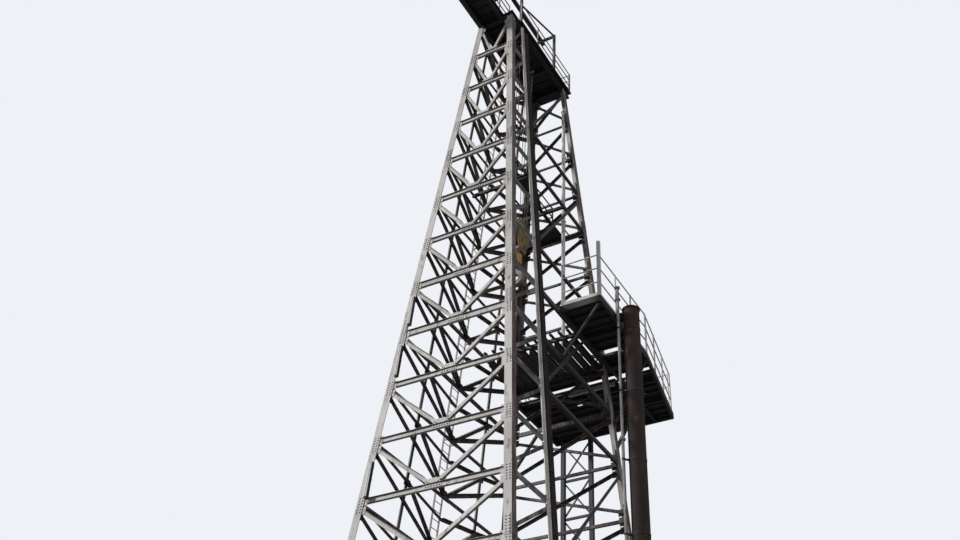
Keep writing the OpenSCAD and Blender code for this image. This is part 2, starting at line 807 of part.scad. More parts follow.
// The deck of the platform that juts out in front of the crown
module front_crown_platform() {
    color(dark) beam([jib_x0, jib_y0, crown_deck_z], [jib_x1 - jib_x0, crown_y0 - jib_y0 - seat_gap, deck_t]);
}

module front_crown_railing() {
    in = rail_d;
    left = jib_x0 + in;
    right = jib_x1 - in;
    front = jib_y0 + in;
    rear = crown_y0 - 80;
    z = crown_deck_z + deck_t + seat_gap;
    color(cream) railing([[left, rear], [left, front], [right, front], [right, rear]], z, crown_rail_h, 900);
}

frame_z = crown_deck_z + deck_t + seat_gap;
crown_bearing_x = (block_sheave_count + 1)*sheave_pitch/2 + 60;
shaft_d = 150;
shaft_play = 0.6;

guard_t = 10;
guard_h = 1250;

// Bearing pedestals for the crown sheaves on a frame round the hole, with guard sheets left and behind
module crown_block_frame() {
    rise = crown_shaft_z - frame_z;
    rail = [100, 1500, 160];
    stand_w = 60;
    stand_foot = 450;
    stand_head = 150;
    stand_low = 100;
    over_shaft = 130;
    outer = crown_bearing_x + rail[0]/2;
    guard_x = -outer - guard_t + bite;
    color(dark) {
        for (x = [-crown_bearing_x, crown_bearing_x]) difference() {
            union() {
                beam([x - rail[0]/2, -rail[1]/2, frame_z], rail);
                translate([x - stand_w/2, 0, frame_z]) rotate([90, 0, 90]) linear_extrude(stand_w)
                    polygon([[-stand_foot, stand_low], [stand_foot, stand_low], [stand_head, rise + over_shaft],
                        [-stand_head, rise + over_shaft]]);
            }
            translate([x - stand_w, 0, crown_shaft_z]) rotate([0, 90, 0])
                cylinder(h = 2*stand_w, d = shaft_d + shaft_play, $fn = 48);
        }
        for (y = [-rail[1]/2, rail[1]/2 - rail[0]])
            beam([-crown_bearing_x, y, frame_z], [2*crown_bearing_x, rail[0], rail[2]]);
        beam([guard_x, -rail[1]/2, frame_z], [guard_t, rail[1], guard_h]);
        beam([guard_x, rail[1]/2 - guard_t, frame_z], [outer - guard_x, guard_t, guard_h]);
    }
}

// A row of grooved sheaves on one shaft along x, centred on the origin
module sheave_row(count, shaft_len) {
    flange = 50;
    web = 14;
    hub_r = 160;
    bore_r = 70;
    rim_h = 110;
    rim = sheave_r + flange;
    rim_in = rim - rim_h;
    line_r = line_d/2;
    bed = sheave_r - line_r - seat_gap;
    half = sheave_pitch/2 - 8;
    rotate([0, 90, 0]) {
        translate([0, 0, -shaft_len/2]) cylinder(h = shaft_len, d = shaft_d, $fn = 48);
        for (k = [0:count - 1]) translate([0, 0, (k - (count - 1)/2)*sheave_pitch])
            rotate_extrude($fn = 64)
                polygon([[bore_r, -half], [hub_r, -half], [hub_r, -web], [rim_in, -web], [rim_in, -half],
                    [rim, -half], [rim, -line_r - 8], [bed, -line_r - 6], [bed, line_r + 6], [rim, line_r + 8],
                    [rim, half], [rim_in, half], [rim_in, web], [hub_r, web], [hub_r, half], [bore_r, half]]);
    }
}

module crown_sheaves() {
    color(steel) translate([0, 0, crown_shaft_z]) sheave_row(block_sheave_count + 1, 2*crown_bearing_x + 90);
}

// A frame of four posts over the crown sheaves, with a ridge beam to lift them by
module gin_pole() {
    post = [700, 1500];
    side = 100;
    foot = [160, 160, 20];
    cross_h = 120;
    cross_w = 90;
    brace = 60;
    brace_rise = 1300;
    ridge = [140, 2*post[1] + 600, 160];
    top = tower_h + gin_h;
    color(dark) {
        for (m = [-1, 1], n = [-1, 1]) {
            beam([m*post[0] - side/2, n*post[1] - side/2, frame_z], [side, side, top - frame_z]);
            beam([m*post[0] - foot[0]/2, n*post[1] - foot[1]/2, frame_z], foot);
        }
        for (n = [-1, 1]) beam([-post[0], n*post[1] - cross_w/2, top - cross_h], [2*post[0], cross_w, cross_h]);
        for (m = [-1, 1])
            strut([m*post[0], -post[1], frame_z + brace_rise], [m*post[0], post[1], top - brace], brace);
        beam([-ridge[0]/2, -ridge[1]/2, top - bite], ridge);
    }
}

// Each travelling sheave hangs on two parts of the line that lead to neighbouring crown sheaves
module drilling_lines() {
    color(steel) for (k = [0:block_sheave_count - 1], m = [-1, 1]) {
        x0 = (k - (block_sheave_count - 1)/2)*sheave_pitch;
        x1 = x0 + m*sheave_pitch/2;
        rise = crown_shaft_z - block_z;
        translate([x0, m*sheave_r, block_z]) rotate([0, atan2(x1 - x0, rise), 0])
            cylinder(h = norm([x1 - x0, rise]), d = line_d, $fn = 16);
    }
}

block_drop = 980;
cheek_t = 40;
cheek_x = block_sheave_count*sheave_pitch/2 + 12;

// The side plates of the travelling block and the cross piece at their foot
module block_cheeks() {
    cheek_mid = cheek_x + cheek_t/2;
    shoulder = sheave_r + 60;
    foot = 220;
    cross = [2*cheek_x + cheek_t, 360, 240];
    guard = [2*cheek_x + 2*bite, 22, 240];
    guard_drop = 340;
    color(yellow) translate([0, 0, block_z]) {
        for (m = [-1, 1]) difference() {
            translate([m*cheek_mid - cheek_t/2, 0, 0]) rotate([90, 0, 90]) linear_extrude(cheek_t) {
                circle(r = sheave_r + 80, $fn = 64);
                polygon([[-shoulder, 0], [-foot, -block_drop], [foot, -block_drop], [shoulder, 0]]);
            }
            translate([m*cheek_mid - cheek_t, 0, 0]) rotate([0, 90, 0])
                cylinder(h = 2*cheek_t, d = shaft_d + shaft_play, $fn = 48);
        }
        beam([-cross[0]/2, -cross[1]/2, -block_drop], cross);
        for (y = [-sheave_r - 62, sheave_r + 40]) beam([-guard[0]/2, y, -guard_drop], guard);
    }
}

module block_sheaves() {
    shaft_out = 60;
    color(steel) translate([0, 0, block_z]) sheave_row(block_sheave_count, 2*(cheek_x + shaft_out));
}

hook_top = block_z - block_drop - seat_gap;
body_h = 520;
stem_d = 180;

// The barrel under the block, which the hook turns in
module hook_body() {
    barrel = [460, 440];
    neck = [300, 90];
    socket = 330;
    stem_play = 0.12;
    color(yellow) translate([0, 0, hook_top - body_h]) difference() {
        union() {
            cylinder(h = barrel[1], d = barrel[0], $fn = 48);
            translate([0, 0, body_h - neck[1]]) cylinder(h = neck[1], d = neck[0], $fn = 48);
        }
        translate([0, 0, -1]) cylinder(h = socket, d = stem_d + stem_play, $fn = 48);
    }
}

// The hook turns on its stem
module hook() {
    outer_r = 330;
    throat_r = 170;
    thick = 180;
    collar = [330, 170];
    stem = [290, 420];
    root = [220, 210];
    mouth = [300, 400];
    z = hook_top - body_h - 420;
    color(steel) {
        translate([0, 0, z + stem[0]]) cylinder(h = stem[1], d = stem_d, $fn = 48);
        translate([0, 0, z + 240]) cylinder(h = collar[1], d = collar[0], $fn = 48);
        translate([0, 0, z - 210]) rotate([90, 0, 0]) translate([0, 0, -thick/2]) linear_extrude(thick) {
            difference() {
                circle(r = outer_r, $fn = 64);
                circle(r = throat_r, $fn = 64);
                translate([-400, 20]) square(mouth);
            }
            translate([-root[0]/2, outer_r - 60]) square(root);
        }
    }
}

leg(3);  // leg_front_left
leg(0);  // leg_front_right
leg(1);  // leg_back_right
leg(2);  // leg_back_left
foot_plates();
color(cream) door_frame(0);  // front_door_frame
color(cream) v_bracing(0, door_top, low_top);  // front_bracing_low
color(cream) v_bracing(0, low_top, mid_top);  // front_bracing_mid
color(cream) v_bracing(0, mid_top, panels);  // front_bracing_top
color(cream) door_frame(2);  // back_door_frame
color(cream) x_bracing(2, door_top, low_top);  // back_bracing_low
color(cream) x_bracing(2, low_top, mid_top);  // back_bracing_mid
color(cream) x_bracing(2, mid_top, panels);  // back_bracing_top
color(cream) v_bracing(3, 1, side_low_top);  // left_bracing_low
color(cream) v_bracing(3, side_low_top, side_mid_top);  // left_bracing_mid
color(cream) v_bracing(3, side_mid_top, panels);  // left_bracing_top
color(cream) right_bracing(0, side_low_top);  // right_bracing_low
color(cream) right_bracing(side_low_top, side_mid_top);  // right_bracing_mid
color(cream) right_bracing(side_mid_top, panels);  // right_bracing_top
side_post();
cable_tray();
ladder();
lamps();
platform_beams();
platform_deck();
finger_beams();
platform_railing();
platform_braces();
tie_beam();
inner_gangway();
rear_trestle();
side_column();
water_table();
crown_deck();
crown_railing();
front_crown_platform();
front_crown_railing();
crown_block_frame();
crown_sheaves();
gin_pole();
drilling_lines();
block_cheeks();
block_sheaves();
hook_body();
hook();
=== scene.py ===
import json
import math

import bpy
from mathutils import Matrix, Vector


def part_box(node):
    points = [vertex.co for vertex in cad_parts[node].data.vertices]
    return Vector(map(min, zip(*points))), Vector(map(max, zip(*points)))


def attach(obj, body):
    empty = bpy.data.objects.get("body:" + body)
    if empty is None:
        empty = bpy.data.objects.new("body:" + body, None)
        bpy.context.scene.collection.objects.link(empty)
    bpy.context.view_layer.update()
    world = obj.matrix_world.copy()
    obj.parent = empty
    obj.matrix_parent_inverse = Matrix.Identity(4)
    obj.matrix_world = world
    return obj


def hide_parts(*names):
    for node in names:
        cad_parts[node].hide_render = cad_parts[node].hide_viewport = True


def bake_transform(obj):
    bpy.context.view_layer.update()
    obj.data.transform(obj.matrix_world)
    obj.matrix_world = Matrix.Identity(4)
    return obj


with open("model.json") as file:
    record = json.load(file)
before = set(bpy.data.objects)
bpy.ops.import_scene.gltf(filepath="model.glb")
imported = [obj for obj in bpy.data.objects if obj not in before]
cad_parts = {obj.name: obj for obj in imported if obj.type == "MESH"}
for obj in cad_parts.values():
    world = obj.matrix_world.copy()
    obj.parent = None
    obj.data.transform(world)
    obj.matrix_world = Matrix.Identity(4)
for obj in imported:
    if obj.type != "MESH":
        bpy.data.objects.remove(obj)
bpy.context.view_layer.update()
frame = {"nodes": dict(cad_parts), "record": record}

# Sizes in metres, as in the solids; a level is a count of panels from the ground
TOWER_H = 36.0
PANELS = 18
PANEL_H = TOWER_H / PANELS
BASE_W = 7.27
BASE_D = 10.5
TOP_W = 1.6
TOP_D = 4.8
LEAN_W = (BASE_W - TOP_W) / 2 / TOWER_H
LEAN_D = (BASE_D - TOP_D) / 2 / TOWER_H
LEG_W = 0.25
LEG_T = 0.02
SEAT_GAP = 0.0003
SPLICE_LEVEL = 2.15
SPLICE_EVERY = 4
SPLICE_LENGTH = 0.62
SPLICE_T = 0.014
POST_FOOT_Y = 2.4
POST_HEAD_Y = 1.57
POST_W = 0.13
TRAY_GAP = 0.012
TRAY_W = 0.32
DECK_Z = 22.0
PLAT_X1 = 3.5
PLAT_BACK_X = 2.75

FRONT, RIGHT, BACK, LEFT = range(4)
TOWER = "tower"
BLOCK = "travelling_block"
FLAT = Matrix.Identity(4)
ANGLE_T = 0.01


# The camera, where the photographer stood: turns in degrees, place in metres, lens and sensor in millimetres

YAW, PITCH, ROLL = -32.68, 38.4, 3.62
EYE = (15.40, -26.375, 0.25)
LENS = 40.35
SENSOR_W = 36.0
SEEN_TO = 500


def photo_camera():
    yaw, pitch, roll = (math.radians(turn) for turn in (YAW, PITCH, ROLL))
    forward = Vector((math.sin(yaw) * math.cos(pitch), math.cos(yaw) * math.cos(pitch), math.sin(pitch)))
    level_right = Vector((math.cos(yaw), -math.sin(yaw), 0))
    level_up = level_right.cross(forward)
    right = math.cos(roll) * level_right + math.sin(roll) * level_up
    up = math.cos(roll) * level_up - math.sin(roll) * level_right
    data = bpy.data.cameras.new("camera")
    data.sensor_width = SENSOR_W
    data.lens = LENS
    data.clip_end = SEEN_TO
    camera = bpy.data.objects.new("camera", data)
    bpy.context.scene.collection.objects.link(camera)
    place = Matrix((right, up, -forward)).transposed().to_4x4()
    place.translation = Vector(EYE)
    camera.matrix_world = place
    bpy.context.scene.camera = camera


photo_camera()


# Materials

def new_material(name):
    material = bpy.data.materials.new(name)
    material.use_nodes = True
    tree = material.node_tree
    shader = tree.nodes["Principled BSDF"]
    return material, tree, shader


def add_node(tree, kind, **values):
    node = tree.nodes.new(kind)
    for key, value in values.items():
        if key in node.inputs:
            node.inputs[key].default_value = value
        else:
            setattr(node, key, value)
    return node


def noise(tree, scale, detail, stretch=(1, 1, 1), rough=0.6):
    place = add_node(tree, "ShaderNodeTexCoord")
    mapping = add_node(tree, "ShaderNodeMapping")
    mapping.inputs["Scale"].default_value = stretch
    texture = add_node(tree, "ShaderNodeTexNoise", Scale=scale, Detail=detail, Roughness=rough)
    tree.links.new(place.outputs["Object"], mapping.inputs["Vector"])
    tree.links.new(mapping.outputs["Vector"], texture.inputs["Vector"])
    return texture.outputs["Fac"]


def step_between(tree, value, low, high):
    ramp = add_node(tree, "ShaderNodeMapRange", clamp=True)
    ramp.inputs["From Min"].default_value = low
    ramp.inputs["From Max"].default_value = high
    tree.links.new(value, ramp.inputs["Value"])
    return ramp.outputs["Result"]


def mixed(tree, factor, first, second):
    mix = add_node(tree, "ShaderNodeMix", data_type="RGBA")
    for socket, value in ((mix.inputs[6], first), (mix.inputs[7], second)):
        if isinstance(value, tuple):
            socket.default_value = (*value, 1)
        else:
            tree.links.new(value, socket)
    tree.links.new(factor, mix.inputs[0])
    return mix.outputs[2]


BUMP_STRENGTH = 0.35
BUMP_DEPTH = 0.004


def bumped(tree, shader, height):
    bump = add_node(tree, "ShaderNodeBump", Strength=BUMP_STRENGTH, Distance=BUMP_DEPTH)
    tree.links.new(height, bump.inputs["Height"])
    tree.links.new(bump.outputs["Normal"], shader.inputs["Normal"])


def facing(tree, direction, low, high):
    """How far a surface faces a direction of the tower, from 0 to 1."""
    geometry = add_node(tree, "ShaderNodeNewGeometry")
    dot = add_node(tree, "ShaderNodeVectorMath", operation="DOT_PRODUCT")
    dot.inputs[1].default_value = direction
    tree.links.new(geometry.outputs["Normal"], dot.inputs[0])
    return step_between(tree, dot.outputs["Value"], low, high)


def product(tree, first, second):
    times = add_node(tree, "ShaderNodeMath", operation="MULTIPLY")
    tree.links.new(first, times.inputs[0])
    tree.links.new(second, times.inputs[1])
    return times.outputs[0]


def weathered_paint(name, paint, dirty, rust, rust_from, rust_to, roughness=0.6, metallic=0.0, painted_shade=None,
                    painted_shade_way=(0.86, 0.5, -0.1), painted_shade_from=0.15, patch_from=0.28, dark_behind=None):
    """Paint with broad dirt, fine rust and streaks that run down.

    The optional shade colour is painted shade: surfaces facing the given way take it in patches, and all of
    them take it over the two values of y in dark_behind and beyond.
    """
    material, tree, shader = new_material(name)
    broad = noise(tree, 0.55, 5.0, (1, 1, 0.5))
    fine = noise(tree, 6.0, 8.0, (1, 1, 0.35), 0.7)
    streaks = noise(tree, 3.0, 6.0, (3, 3, 0.35), 0.65)
    color = mixed(tree, step_between(tree, broad, 0.35, 0.65), paint, dirty)
    if painted_shade:
        # Painted shade: surfaces facing the given way take the shade colour in patches.
        patchy = step_between(tree, noise(tree, 1.4, 5.0, (1, 1, 0.4)), patch_from, patch_from + 0.22)
        shaded_side = facing(tree, painted_shade_way, painted_shade_from, painted_shade_from + 0.45)
        color = mixed(tree, product(tree, shaded_side, patchy), color, painted_shade)
    color = mixed(tree, step_between(tree, fine, rust_from, rust_to), color, rust)
    stain = tuple(0.55 * a + 0.45 * b for a, b in zip(rust, paint))
    color = mixed(tree, step_between(tree, streaks, rust_from - 0.02, rust_to + 0.05), color, stain)
    if dark_behind:
        # Painted shade: the shade colour over the two values of y in dark_behind and beyond.
        place = add_node(tree, "ShaderNodeTexCoord")
        parts = add_node(tree, "ShaderNodeSeparateXYZ")
        tree.links.new(place.outputs["Object"], parts.inputs[0])
        color = mixed(tree, step_between(tree, parts.outputs["Y"], *dark_behind), color, painted_shade)
    tree.links.new(color, shader.inputs["Base Color"])
    shader.inputs["Roughness"].default_value = roughness
    shader.inputs["Metallic"].default_value = metallic
    bumped(tree, shader, fine)
    return material


# Each look's paint, dirt and rust, then where the rust starts and is full, the roughness and the metal
OLD_PAINT = ((0.58, 0.56, 0.53), (0.34, 0.325, 0.31), (0.16, 0.085, 0.055), 0.55, 0.65)
# Painted shade: a darker copy of the old paint, for faces seen in shade from inside the tower.
SHADED_PAINT = ((0.36, 0.345, 0.32), (0.15, 0.14, 0.13), (0.09, 0.05, 0.035), 0.5, 0.62)
PLAIN_LOOKS = {
    # Painted shade: near-black rusty steel for the side column, which stands in the racking platform's
    # shadow; the rust-red patches are rust.
    "shaded_rust": ((0.065, 0.03, 0.021), (0.024, 0.019, 0.018), (0.21, 0.10, 0.05), 0.6, 0.72, 0.8),
    # Painted light: a paler copy of the paint, for parts in shade that stand out bright.
    "lit_paint": ((0.84, 0.82, 0.78), (0.62, 0.60, 0.57), (0.24, 0.15, 0.10), 0.60, 0.69),
    "rusty_steel": ((0.125, 0.05, 0.032), (0.045, 0.03, 0.027), (0.30, 0.17, 0.08), 0.58, 0.70, 0.8),
    "dark_steel": ((0.036, 0.035, 0.039), (0.02, 0.0195, 0.022), (0.10, 0.05, 0.032), 0.59, 0.70, 0.7),
    "bare_steel": ((0.30, 0.29, 0.28), (0.16, 0.15, 0.145), (0.17, 0.11, 0.07), 0.58, 0.7, 0.45, 0.8),
    "wire_rope": ((0.10, 0.10, 0.105), (0.055, 0.055, 0.055), (0.13, 0.09, 0.06), 0.6, 0.7, 0.5, 0.7),
    "yellow_paint": ((0.80, 0.55, 0.055), (0.34, 0.235, 0.05), (0.07, 0.05, 0.035), 0.54, 0.64, 0.5),
    # Painted shade and dirt: a darker, dirtier copy of the yellow paint for the travelling block's cheeks.
    "shaded_dirty_yellow": ((0.42, 0.29, 0.06), (0.07, 0.055, 0.032), (0.045, 0.032, 0.026), 0.48, 0.60, 0.6),
}


def make_materials():
    # Painted shade: the tower paint goes dark rust-brown in patches on surfaces facing away from the key
    # light.
    looks = {"tower_paint": weathered_paint("tower_paint", *OLD_PAINT, painted_shade=(0.115, 0.075, 0.06))}
    # Painted shade: darker copies of the old paint for the left and back faces, near black in patches on
    # surfaces facing the given way.
    for name, way in (("shaded_left", (0.85, 0.1, -0.6)), ("shaded_back", (0.35, -0.8, -0.6))):
        looks[name] = weathered_paint(name, *SHADED_PAINT, painted_shade=(0.045, 0.034, 0.030), painted_shade_way=way,
                                      painted_shade_from=-0.1, patch_from=0.1)
    # Painted shade: the old paint with near-black patches on surfaces facing away from the key light, and
    # near black over the right bracing from y = -2.0 back, fully from y = -1.3.
    looks["shaded_rear"] = weathered_paint("shaded_rear", *OLD_PAINT, painted_shade=(0.06, 0.045, 0.04),
                                          dark_behind=(-2.0, -1.3))
    for name, values in PLAIN_LOOKS.items():
        looks[name] = weathered_paint(name, *values)
    material, tree, shader = new_material("lamp_tube")
    cloud = step_between(tree, noise(tree, 9.0, 3.0), 0.3, 0.7)
    tree.links.new(mixed(tree, cloud, (0.90, 0.90, 0.87), (0.80, 0.80, 0.76)), shader.inputs["Base Color"])
    shader.inputs["Roughness"].default_value = 0.25
    looks["lamp_tube"] = material
    return looks


looks = make_materials()
slot_of = {part["node"]: part["material_slot"] for part in frame["record"]["subparts"]}
# Pieces that are paler, darker or rustier in the photo than the rest with their material
# Of these, the side post and the platform railing take painted light, and the ladder, the left back leg, the
# back door frame, the side column and the left, right and back bracing take painted shade; the block's cheeks
# take painted shade and dirt.
special = {"side_post": "lit_paint", "platform_railing": "lit_paint", "lamps": "dark_steel",
           "ladder": "shaded_left", "leg_back_left": "shaded_left", "block_cheeks": "shaded_dirty_yellow",
           "back_door_frame": "shaded_back", "side_column": "shaded_rust"}
for part in ("low", "mid", "top"):
    special["left_bracing_" + part] = "shaded_left"
    special["right_bracing_" + part] = "shaded_rear"
    special["back_bracing_" + part] = "shaded_back"
for name, cad in frame["nodes"].items():
    cad.data.materials.clear()
    cad.data.materials.append(looks[special.get(name, slot_of[name])])


# Meshes made of many small solids

class Solids:
    """Collects convex solids, given by their corners, into one mesh."""

    def __init__(self):
        self.corners = []
        self.faces = []

    def prism(self, place, outline, height):
        """An outline in x and y, raised along z from the origin of place."""
        first = len(self.corners)
        count = len(outline)
        for z in (0.0, height):
            self.corners += [place @ Vector((x, y, z)) for x, y in outline]
        self.faces.append([first + k for k in reversed(range(count))])
        self.faces.append([first + count + k for k in range(count)])
        for k in range(count):
            after = (k + 1) % count
            self.faces.append([first + k, first + after, first + count + after, first + count + k])

    def round(self, place, radius, height, sides=6):
        """A prism on a regular outline: a bolt head with six sides, a disc with many."""
        turns = [2 * math.pi * k / sides for k in range(sides)]
        self.prism(place, [(radius * math.cos(a), radius * math.sin(a)) for a in turns], height)

    def block(self, place, low, high):
        outline = [(low[0], low[1]), (high[0], low[1]), (high[0], high[1]), (low[0], high[1])]
        self.prism(place @ Matrix.Translation((0, 0, low[2])), outline, high[2] - low[2])

    def bar(self, start, end, radius, sides):
        """A round bar from one point to another."""
        start = Vector(start)
        run = Vector(end) - start
        turn = run.to_track_quat("Z", "Y").to_matrix().to_4x4()
        self.round(Matrix.Translation(start) @ turn, radius, run.length, sides)

    def angle(self, place, start, end, width, depth, top):
        """A steel angle between two places on a face, its flat flange at height top."""
        run = Vector(end) - Vector(start)
        lie = (place @ Matrix.Translation((start[0], start[1], 0))
               @ Matrix.Rotation(math.atan2(run.y, run.x), 4, "Z"))
        self.block(lie, (0, -width / 2, top - ANGLE_T), (run.length, width / 2, top))
        self.block(lie, (0, -width / 2, top - depth), (run.length, ANGLE_T - width / 2, top - ANGLE_T))

    def piece(self, name, body, slot, look=None):
        """Makes the collected solids one object; its look is the slot's unless another is given."""
        mesh = bpy.data.meshes.new(name)
        mesh.from_pydata(self.corners, [], self.faces)
        mesh.update()
        mesh.materials.append(looks[look or slot])
        obj = bpy.data.objects.new(name, mesh)
        bpy.context.scene.collection.objects.link(obj)
        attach(obj, body)


# Places on the four sloping faces: x along the face, y up its slope, z outwards

def tilt(face):
    """How far a face leans in from upright."""
    return math.atan(LEAN_D if face % 2 == 0 else LEAN_W)


def face_place(face):
    reach = (BASE_D if face % 2 == 0 else BASE_W) / 2
    turn = Matrix.Rotation(math.radians(90 * face), 4, "Z")
    return turn @ Matrix.Translation((0, -reach, 0)) @ Matrix.Rotation(math.radians(90) - tilt(face), 4, "X")


def up_face(face, level):
    """How far up a face's slope a level lies."""
    return level * PANEL_H / math.cos(tilt(face))


def edge(face, level):
    """Half the width of a face over the legs at a level."""
    if face % 2 == 0:
        return BASE_W / 2 - LEAN_W * level * PANEL_H
    return BASE_D / 2 - LEAN_D * level * PANEL_H


# Bolts

BOLT_R = 0.024
BOLT_HEAD = 0.019
BOLT_PITCH = 0.09
ANCHOR_Z = 0.0397
ANCHOR_REACH = 0.25
WASHER = (0.055, 0.006, 16)
ANCHOR_NUT = (0.031, 0.034, 6)
ANCHOR_END = (0.0165, 0.085, 12)


def bolt(solids, face, x, y, top=0.0):
    solids.round(face_place(face) @ Matrix.Translation((x, y, top)), BOLT_R, BOLT_HEAD)


def leg_bolts():
    """Two rows of bolts through the legs where the bars of each level meet them."""
    solids = Solids()
    for face in range(4):
        for level in range(1, PANELS):
            for side in (-1, 1):
                for row in range(-4, 2):
                    y = up_face(face, level) + BOLT_PITCH * row + 0.02
                    here = level + BOLT_PITCH * row / PANEL_H
                    for inset in (0.07, 0.175):
                        bolt(solids, face, side * (edge(face, here) - inset), y)
    solids.piece("leg_bolts", TOWER, "tower_paint")


def splice_bolts():
    """Two rows of bolts on every splice plate of the legs."""
    solids = Solids()
    level = SPLICE_LEVEL
    while level < PANELS:
        for face in range(4):
            for side in (-1, 1):
                for row in range(6):
                    along = (row - 2.5) * SPLICE_LENGTH / 6.6
                    here = level + along / PANEL_H
                    for inset in (0.075, 0.18):
                        x = side * (edge(face, here) - inset)
                        bolt(solids, face, x, up_face(face, level) + along, SPLICE_T)
        level += SPLICE_EVERY
    solids.piece("splice_bolts", TOWER, "tower_paint")


def middle_bolts():
    """Bolts of the gusset plates in the middle of the front and left girts."""
    solids = Solids()
    top = -LEG_T - SEAT_GAP
    for face, low in ((FRONT, 3), (LEFT, 1)):
        for level in range(low, PANELS):
            y = up_face(face, level)
            for k in range(6):
                bolt(solids, face, -0.225 + BOLT_PITCH * k, y - 0.01, top)
            for side in (-1, 1):
                for k in range(3):
                    bolt(solids, face, side * (0.095 + 0.065 * k), y + 0.075 + 0.045 * k, top)
    solids.piece("middle_bolts", TOWER, "tower_paint")


def anchor_bolts():
    """A washer, a nut and a bolt's end at each hole of the foot plates."""
    solids = Solids()
    inset = LEG_W / 2 - 0.010
    for x in (-1, 1):
        for y in (-1, 1):
            for a in (-1, 1):
                for b in (-1, 1):
                    place = Matrix.Translation((x * (BASE_W / 2 - inset) + a * ANCHOR_REACH,
                                                y * (BASE_D / 2 - inset) + b * ANCHOR_REACH, ANCHOR_Z))
                    for stacked in (WASHER, ANCHOR_NUT, ANCHOR_END):
                        solids.round(place, *stacked)
    solids.piece("anchor_bolts", TOWER, "rusty_steel")


# Bracing that the solids lack: the left face's posts and short bars, and the front bars' outstanding flanges

MEET = 0.8
LOW_MEET = 0.62
BRACE_BACK = -LEG_T - SEAT_GAP - 0.012
DEEP_BAR = (0.15, 0.15)
LIGHT_BAR = (0.11, 0.12)


def left_post(side, level):
    """How far from the left face's middle a post stands at a level."""
    return side * (POST_FOOT_Y + (POST_HEAD_Y - POST_FOOT_Y) * level / PANELS)


def left_side_bracing():
    """Posts in both halves of the left face, with the lighter bars that meet on them."""
    place = face_place(LEFT)
    posts = Solids()
    bars = Solids()
    lean = math.atan((POST_FOOT_Y - POST_HEAD_Y) / up_face(LEFT, PANELS))
    foot = up_face(LEFT, 1) - 0.07
    head = up_face(LEFT, PANELS) - 0.4
    for side in (-1, 1):
        stand = (place @ Matrix.Translation((side * POST_FOOT_Y, 0, 0))
                 @ Matrix.Rotation(side * lean, 4, "Z"))
        posts.block(stand, (-POST_W / 2, foot, -LEG_T), (POST_W / 2, head, -0.004))
        posts.block(stand, (-0.01, foot, -0.006), (0.01, head, 0.06))
        for level in range(1, PANELS):
            y = up_face(LEFT, level)
            posts.block(stand, (-0.1, y - 0.07, BRACE_BACK + 0.002), (0.1, y + 0.07, -LEG_T + 0.002))
            x = left_post(side, level + MEET)
            meet = up_face(LEFT, level + MEET)
            leg = (side * (edge(LEFT, level + 1) - 0.2), up_face(LEFT, level + 0.99))
            bars.angle(place, (side * 0.19, y + 0.16), (x, meet), *DEEP_BAR, BRACE_BACK - 0.02)
            bars.angle(place, (0, up_face(LEFT, level + LOW_MEET)), (x, meet), *LIGHT_BAR, BRACE_BACK)
            bars.angle(place, (x, meet), leg, *LIGHT_BAR, BRACE_BACK)
            bars.block(place, (x - 0.16, meet - 0.13, BRACE_BACK), (x + 0.16, meet + 0.11, -LEG_T))
    # Painted shade: the posts and bars take the darker look of the left face.
    posts.piece("left_side_posts", TOWER, "tower_paint", "shaded_left")
    bars.piece("left_side_bars", TOWER, "tower_paint", "shaded_left")


FLANGE_LOW = -0.034
GIRT_FLANGE_OUT = 0.02
BRACE_FLANGE_OUT = 0.11
WIDE_GIRTS = (10, 11)


def front_flanges():
    """The narrow flanges that stand out from the front's girts and left diagonals."""
    place = face_place(FRONT)
    solids = Solids()
    for level in range(3, PANELS):
        y = up_face(FRONT, level)
        reach = edge(FRONT, level) - LEG_W - 0.02
        rise = 0.095 if level in WIDE_GIRTS else 0.07
        solids.block(place, (-reach, y + rise - ANGLE_T, FLANGE_LOW), (reach, y + rise, GIRT_FLANGE_OUT))
        foot = Vector((-0.06, y + 0.07))
        head = Vector((0.185 - edge(FRONT, level + 1), up_face(FRONT, level + 1) - 0.3))
        run = head - foot
        lie = place @ Matrix.Translation((*foot, 0)) @ Matrix.Rotation(math.atan2(run.y, run.x), 4, "Z")
        solids.block(lie, (0.3, -0.0575, FLANGE_LOW), (run.length - 0.13, ANGLE_T - 0.0575, BRACE_FLANGE_OUT))
    # Painted shade: the flanges take the darker look of the left face, with near-black undersides.
    solids.piece("front_flanges", TOWER, "tower_paint", "shaded_left")


leg_bolts()
splice_bolts()
left_side_bracing()
front_flanges()
middle_bolts()
anchor_bolts()


# The drilling line: eight straight parts and a half turn round each sheave

LINE_R = 0.016
GROOVE = 0.84
ROPE_SIDES = 12
ROPE_LAY = 0.26
ROPE_STEPS = 210
TURN_STEPS = 40
SHEAVE_R = 0.46
SHEAVE_PITCH = 0.110
BLOCK_SHEAVES = 4


